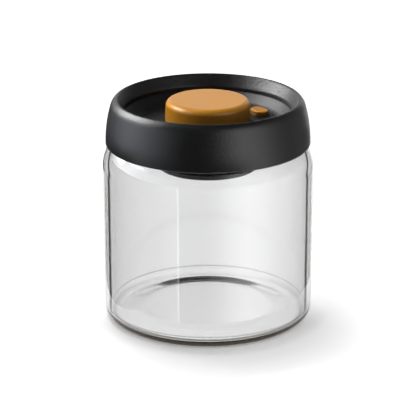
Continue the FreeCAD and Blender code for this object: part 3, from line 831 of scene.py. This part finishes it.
# %% Floor
def floor_finish():
    finish = Finish("pale_floor")
    cloud = finish.noise(size_mm=60.0, detail=2.0)
    squeezed = {0: finish.place, 1: ring_squeeze}
    place = finish.add("ShaderNodeVectorMath", {"operation": "MULTIPLY"}, squeezed)
    to_middle = {0: place, 1: ring_middle}
    reach = finish.add("ShaderNodeVectorMath", {"operation": "DISTANCE"}, to_middle, out="Value")
    share = reach / (glow_span * millimetre)
    behind = finish.step(finish.parts(finish.place).out("Y"), front_mm, back_mm)
    glow = finish.blend(behind, finish.ramp(glow_stops, share), finish.ramp(back_glow_stops, share))
    return finish.shade({
        "Base Color": finish.blend(cloud, grey(0.88), grey(0.92)), "Roughness": 0.6 + cloud * 0.1,
        "Specular IOR Level": 0.1, "Emission Color": glow, "Emission Strength": 1.36,
    })


# A hair below the foot, so that the two surfaces don't share a plane.
floor_z = -0.00003


def lay_floor(reach=5.0, corners=96):
    """A round sheet, wide enough to fill any view."""
    angles = [full_turn * k / corners for k in range(corners)]
    points = [(reach * math.cos(angle), reach * math.sin(angle), floor_z) for angle in angles]
    mesh = bpy.data.meshes.new("floor")
    mesh.from_pydata(points, [], [range(corners)])
    mesh.materials.append(floor_finish())
    floor = bpy.data.objects.new("floor", mesh)
    bpy.context.scene.collection.objects.link(floor)
    print("floor", 2 * reach, "m across, at", floor_z, "m")
    return floor


floor = lay_floor()


# %% [markdown]
# ## Cards
# Shiny things are lit by what they reflect, so a photographer stands cards round them. An image of a studio
# wrapped round the scene could do the same, but a card can be shaped for one edge at a time. These are
# curved sheets about the canister, seen only in reflections. Each has a list of angles with the light at
# each one, where 0 is the front and minus is to the left, and a list of heights with a share of it.
# - The far cards light the lid from both sides and leave a dark band in front. The right one is the taller,
#   so that the lid's right side finds light below the crest too.
# - A flag, which is what photographers call a card that takes light away, carries on from the left far card
#   towards the back and keeps the pale horizon out of the lid.
# - The near card does the same for the glass as the far ones do for the lid, and its one bright stripe is
#   the upright line on the jar.
# - The skirt card is for the lid's edge, and the shoulder card for the jar's shoulder.
# - The two left cards, far off, draw the bright crest of the lid.

# %% Light at each angle, and its share at each height
left_far_glow = [
    (-104, 1.2), (-95, 2.2), (-85, 2.5), (-75, 2.5), (-60, 1.6), (-42, 0.75), (-30, 0.05), (-20, 0.0),
]
right_far_glow = [
    (-20, 0.0), (-4, 0.0), (4, 0.0), (12, 0.5), (20, 1.5), (29, 2.9), (36, 3.1), (44, 2.7), (56, 2.0),
    (72, 0.8), (90, 0.35), (110, 0.35), (140, 0.2),
]
flag_glow = [(-165, 0.0), (-135, 0.1), (-120, 0.3), (-104, 1.2)]
near_glow = [
    (-120, 0.0), (-60, 0.0), (-40, 0.4), (-26, 1.3), (-23.2, 1.4), (-23.0, 4.6), (-21.8, 4.6), (-21.6, 0.0),
    (-2, 0.0), (4, 0.6), (10, 1.7), (16, 3.1), (23, 4.1), (30, 5.2), (37, 4.7), (44, 4.2), (52, 2.9),
    (60, 2.2), (75, 1.1), (100, 0.2), (120, 0.1),
]
skirt_glow = [
    (-83, 0.4), (-76, 0.8), (-68, 1.0), (-60, 1.0), (-48, 0.6), (-34, 0.2), (-24, 0.0), (14, 0.0),
    (22, 0.4), (30, 1.5), (36, 2.2), (44, 2.0), (58, 0.8), (72, 0.35), (112, 0.2),
]
shoulder_glow = [
    (-125, 0.0), (-112, 2.5), (-100, 3.4), (-88, 2.8), (-72, 1.0), (-55, 0.3), (-40, 0.0), (35, 0.0),
    (48, 0.6), (60, 1.2), (72, 0.6), (85, 0.0),
]
left_glow = [
    (-72, 0.0), (-82, 6.0), (-90, 13.0), (-105, 19.0), (-118, 18.0), (-130, 9.0), (-140, 2.0), (-155, 0.0),
]
even_rise = [(0.001, 1.0), (1.0, 1.0)]
far_rise = [(0.001, 1.0), (0.6, 1.0), (0.85, 0.7), (1.0, 0.4)]
low_rise = [(0.19, 0.0), (0.3, 0.5), (0.4, 0.9), (0.5, 1.0)]
shoulder_rise = [(0.42, 0.0), (0.5, 1.0), (0.75, 1.0), (0.95, 0.0)]
high_rise = [(0.5, 1.0), (0.75, 1.0), (0.95, 0.9), (1.15, 0.0)]
brightest = max(near_glow, key=lambda stop: stop[1])
print("the near card is brightest", brightest[0], "degrees to the right of the front")


# %% A card that is seen only in reflections
def card_finish(colour, sheer):
    """A glow that varies over the sheet. A sheer card lets other reflections through."""
    finish = Finish("reflected_card")
    share = finish.add("ShaderNodeAttribute", {"attribute_name": "glow"}, out="Fac")
    shine = finish.add("ShaderNodeVectorMath", {"operation": "SCALE"}, {0: colour, "Scale": share})
    light = finish.add("ShaderNodeEmission", {}, {"Color": shine})
    if sheer:
        light = finish.add("ShaderNodeAddShader", {}, {0: light, 1: finish.add("ShaderNodeBsdfTransparent")})
    return finish.end({"Surface": light})


def stand_card(name, glow, reach, top, rise=even_rise, colour=(1.0, 1.0, 1.0), sheer=False):
    """A curved sheet about the canister. Angles are turned from the front towards the right."""
    points = []
    levels = []
    for angle_deg, level in glow:
        angle = math.radians(angle_deg)
        for height, share in rise:
            points.append((reach * math.sin(angle), -reach * math.cos(angle), top * height))
            levels.append(level * share)
    rows = len(rise)
    corners = [k * rows + j for k in range(len(glow) - 1) for j in range(rows - 1)]
    mesh = bpy.data.meshes.new(name)
    mesh.from_pydata(points, [], [(c, c + 1, c + rows + 1, c + rows) for c in corners])
    mesh.attributes.new("glow", "FLOAT", "POINT").data.foreach_set("value", levels)
    mesh.materials.append(card_finish(colour, sheer))
    card = bpy.data.objects.new(name, mesh)
    bpy.context.scene.collection.objects.link(card)
    card.visible_camera = False
    card.visible_diffuse = False
    card.visible_transmission = False
    card.visible_shadow = False
    print(name, "stands", reach, "m away, and its brightest light is", max(levels))
    return card


# %% Cards
cool = (0.94, 0.97, 1.07)
stand_card("left_far_card", left_far_glow, reach=0.26, top=0.19, colour=cool)
stand_card("right_far_card", right_far_glow, reach=0.26, top=0.32, rise=far_rise)
stand_card("flag", flag_glow, reach=0.26, top=0.112, colour=cool)
near_card = stand_card("near_card", near_glow, reach=0.085, top=0.088)
skirt_card = stand_card("skirt_card", skirt_glow, reach=0.083, top=0.0885, sheer=True)
shoulder_card = stand_card(
    "shoulder_card", shoulder_glow, reach=0.2, top=0.2, rise=shoulder_rise, sheer=True,
)
low_card = stand_card("left_low_card", left_glow, reach=0.8, top=1.0, rise=low_rise)
stand_card("left_high_card", left_glow, reach=0.8, top=1.0, rise=high_rise)


# %% [markdown]
# ## Lights
# Three large soft boxes give the light: one at the left, one above and one behind. The larger the box, the
# softer the shadow. A small one fills the right of the amber buttons. Only the box behind shows in
# reflections, because the cards do that work for the others.

# %% Lights
aim = Vector((0.0, 0.0, 0.08))


def hang_light(name, place, size, watts, shine=False):
    """A soft box that looks at the canister."""
    light = bpy.data.lights.new(name, "AREA")
    light.shape = "RECTANGLE"
    light.size, light.size_y = size
    light.energy = watts
    lamp = bpy.data.objects.new(name, light)
    lamp.location = place
    lamp.rotation_euler = (aim - Vector(place)).to_track_quat("-Z", "Y").to_euler()
    lamp.visible_glossy = shine
    lamp.visible_transmission = False
    bpy.context.scene.collection.objects.link(lamp)
    print(name, "gives", watts, "W from", round((aim - Vector(place)).length, 2), "m away")
    return lamp


left_box = hang_light("left_box", place=(-0.75, 0.27, 0.6), size=(0.9, 0.5), watts=9.8)
hang_light("top_box", place=(-0.24, 0.33, 1.36), size=(0.5, 0.5), watts=9.4)
hang_light("back_box", place=(0.0, 2.5, 0.95), size=(3.0, 1.4), watts=7.8, shine=True)
amber_fill = hang_light("amber_fill", place=(0.62, -0.36, 0.25), size=(0.3, 0.3), watts=0.6)


# %% [markdown]
# ## What each light may reach
# In a studio, small flags keep a light off one thing while it falls on another. Light linking does the same.
# The left box leaves the floor out, because one shadow is enough. The small fill is for the amber buttons
# alone, and the low left card leaves them out, because from the side it would bleach them. The near card
# is too close to the lid's ring, which has the skirt card in its place, and the shoulder card is for the
# jar alone.

# %% What each light may reach
def link_light(light, state, pieces):
    """Lets a light or a card reach only some pieces, or all but some."""
    members = bpy.data.collections.new(light.name + "_pieces")
    light.light_linking.receiver_collection = members
    for piece in pieces:
        members.objects.link(piece)
    for member in members.collection_objects:
        member.light_linking.link_state = state
    print(light.name, state.lower() + "s", ", ".join(piece.name for piece in pieces))


buttons = [nodes["pump_button"], nodes["release_button"]]
ring = nodes["lid_ring"]
link_light(left_box, "EXCLUDE", [floor])
link_light(amber_fill, "INCLUDE", buttons)
link_light(low_card, "EXCLUDE", buttons)
link_light(near_card, "EXCLUDE", [ring])
link_light(skirt_card, "INCLUDE", [ring])
link_light(shoulder_card, "INCLUDE", [jar_piece])


# %% [markdown]
# ## World
# What lies beyond the floor is seen through the glass and in the lid. It is pale at the horizon, like the
# sweep of a studio, and dark above it, like its ceiling. Levels of the picture stay as they are worked out,
# with no film look laid over them.

# %% World
pale = grey(0.9)
dark = (0.06, 0.06, 0.065, 1.0)
pale_until = 0.08
dark_from = 0.26


def dress_world():
    world = bpy.data.worlds.new("studio")
    world.use_nodes = True
    tree = Tree(world.node_tree)
    tree.node_tree.nodes.clear()
    way = tree.add("ShaderNodeTexCoord", out="Generated")
    band = tree.ramp([(0.0, pale), (pale_until, pale), (dark_from, dark)], tree.parts(way).out("Z"))
    light = tree.add("ShaderNodeBackground", {}, {"Color": band, "Strength": 1.0})
    tree.add("ShaderNodeOutputWorld", {}, {"Surface": light})
    bpy.context.scene.world = world
    print("world", world.name, "with", len(tree.node_tree.nodes), "nodes")


dress_world()
bpy.context.scene.view_settings.view_transform = "Standard"


# %% [markdown]
# ## Camera
# The photograph looks down on the canister at about nineteen degrees, from about a metre away. A long lens
# from there keeps the upright lines nearly parallel.

# %% Camera
look_down_deg = 19.29
camera = bpy.data.cameras.new("camera")
camera.lens = 176.6
camera.sensor_width = 36.0
camera.clip_end = 50.0
viewer = bpy.data.objects.new("camera", camera)
viewer.location = (0.0, -0.9699, 0.3945)
viewer.rotation_euler = (math.radians(90.0 - look_down_deg), 0.0, 0.0)
bpy.context.scene.collection.objects.link(viewer)
bpy.context.scene.camera = viewer
print("camera", round(viewer.location.length, 3), "m from the middle of the foot")
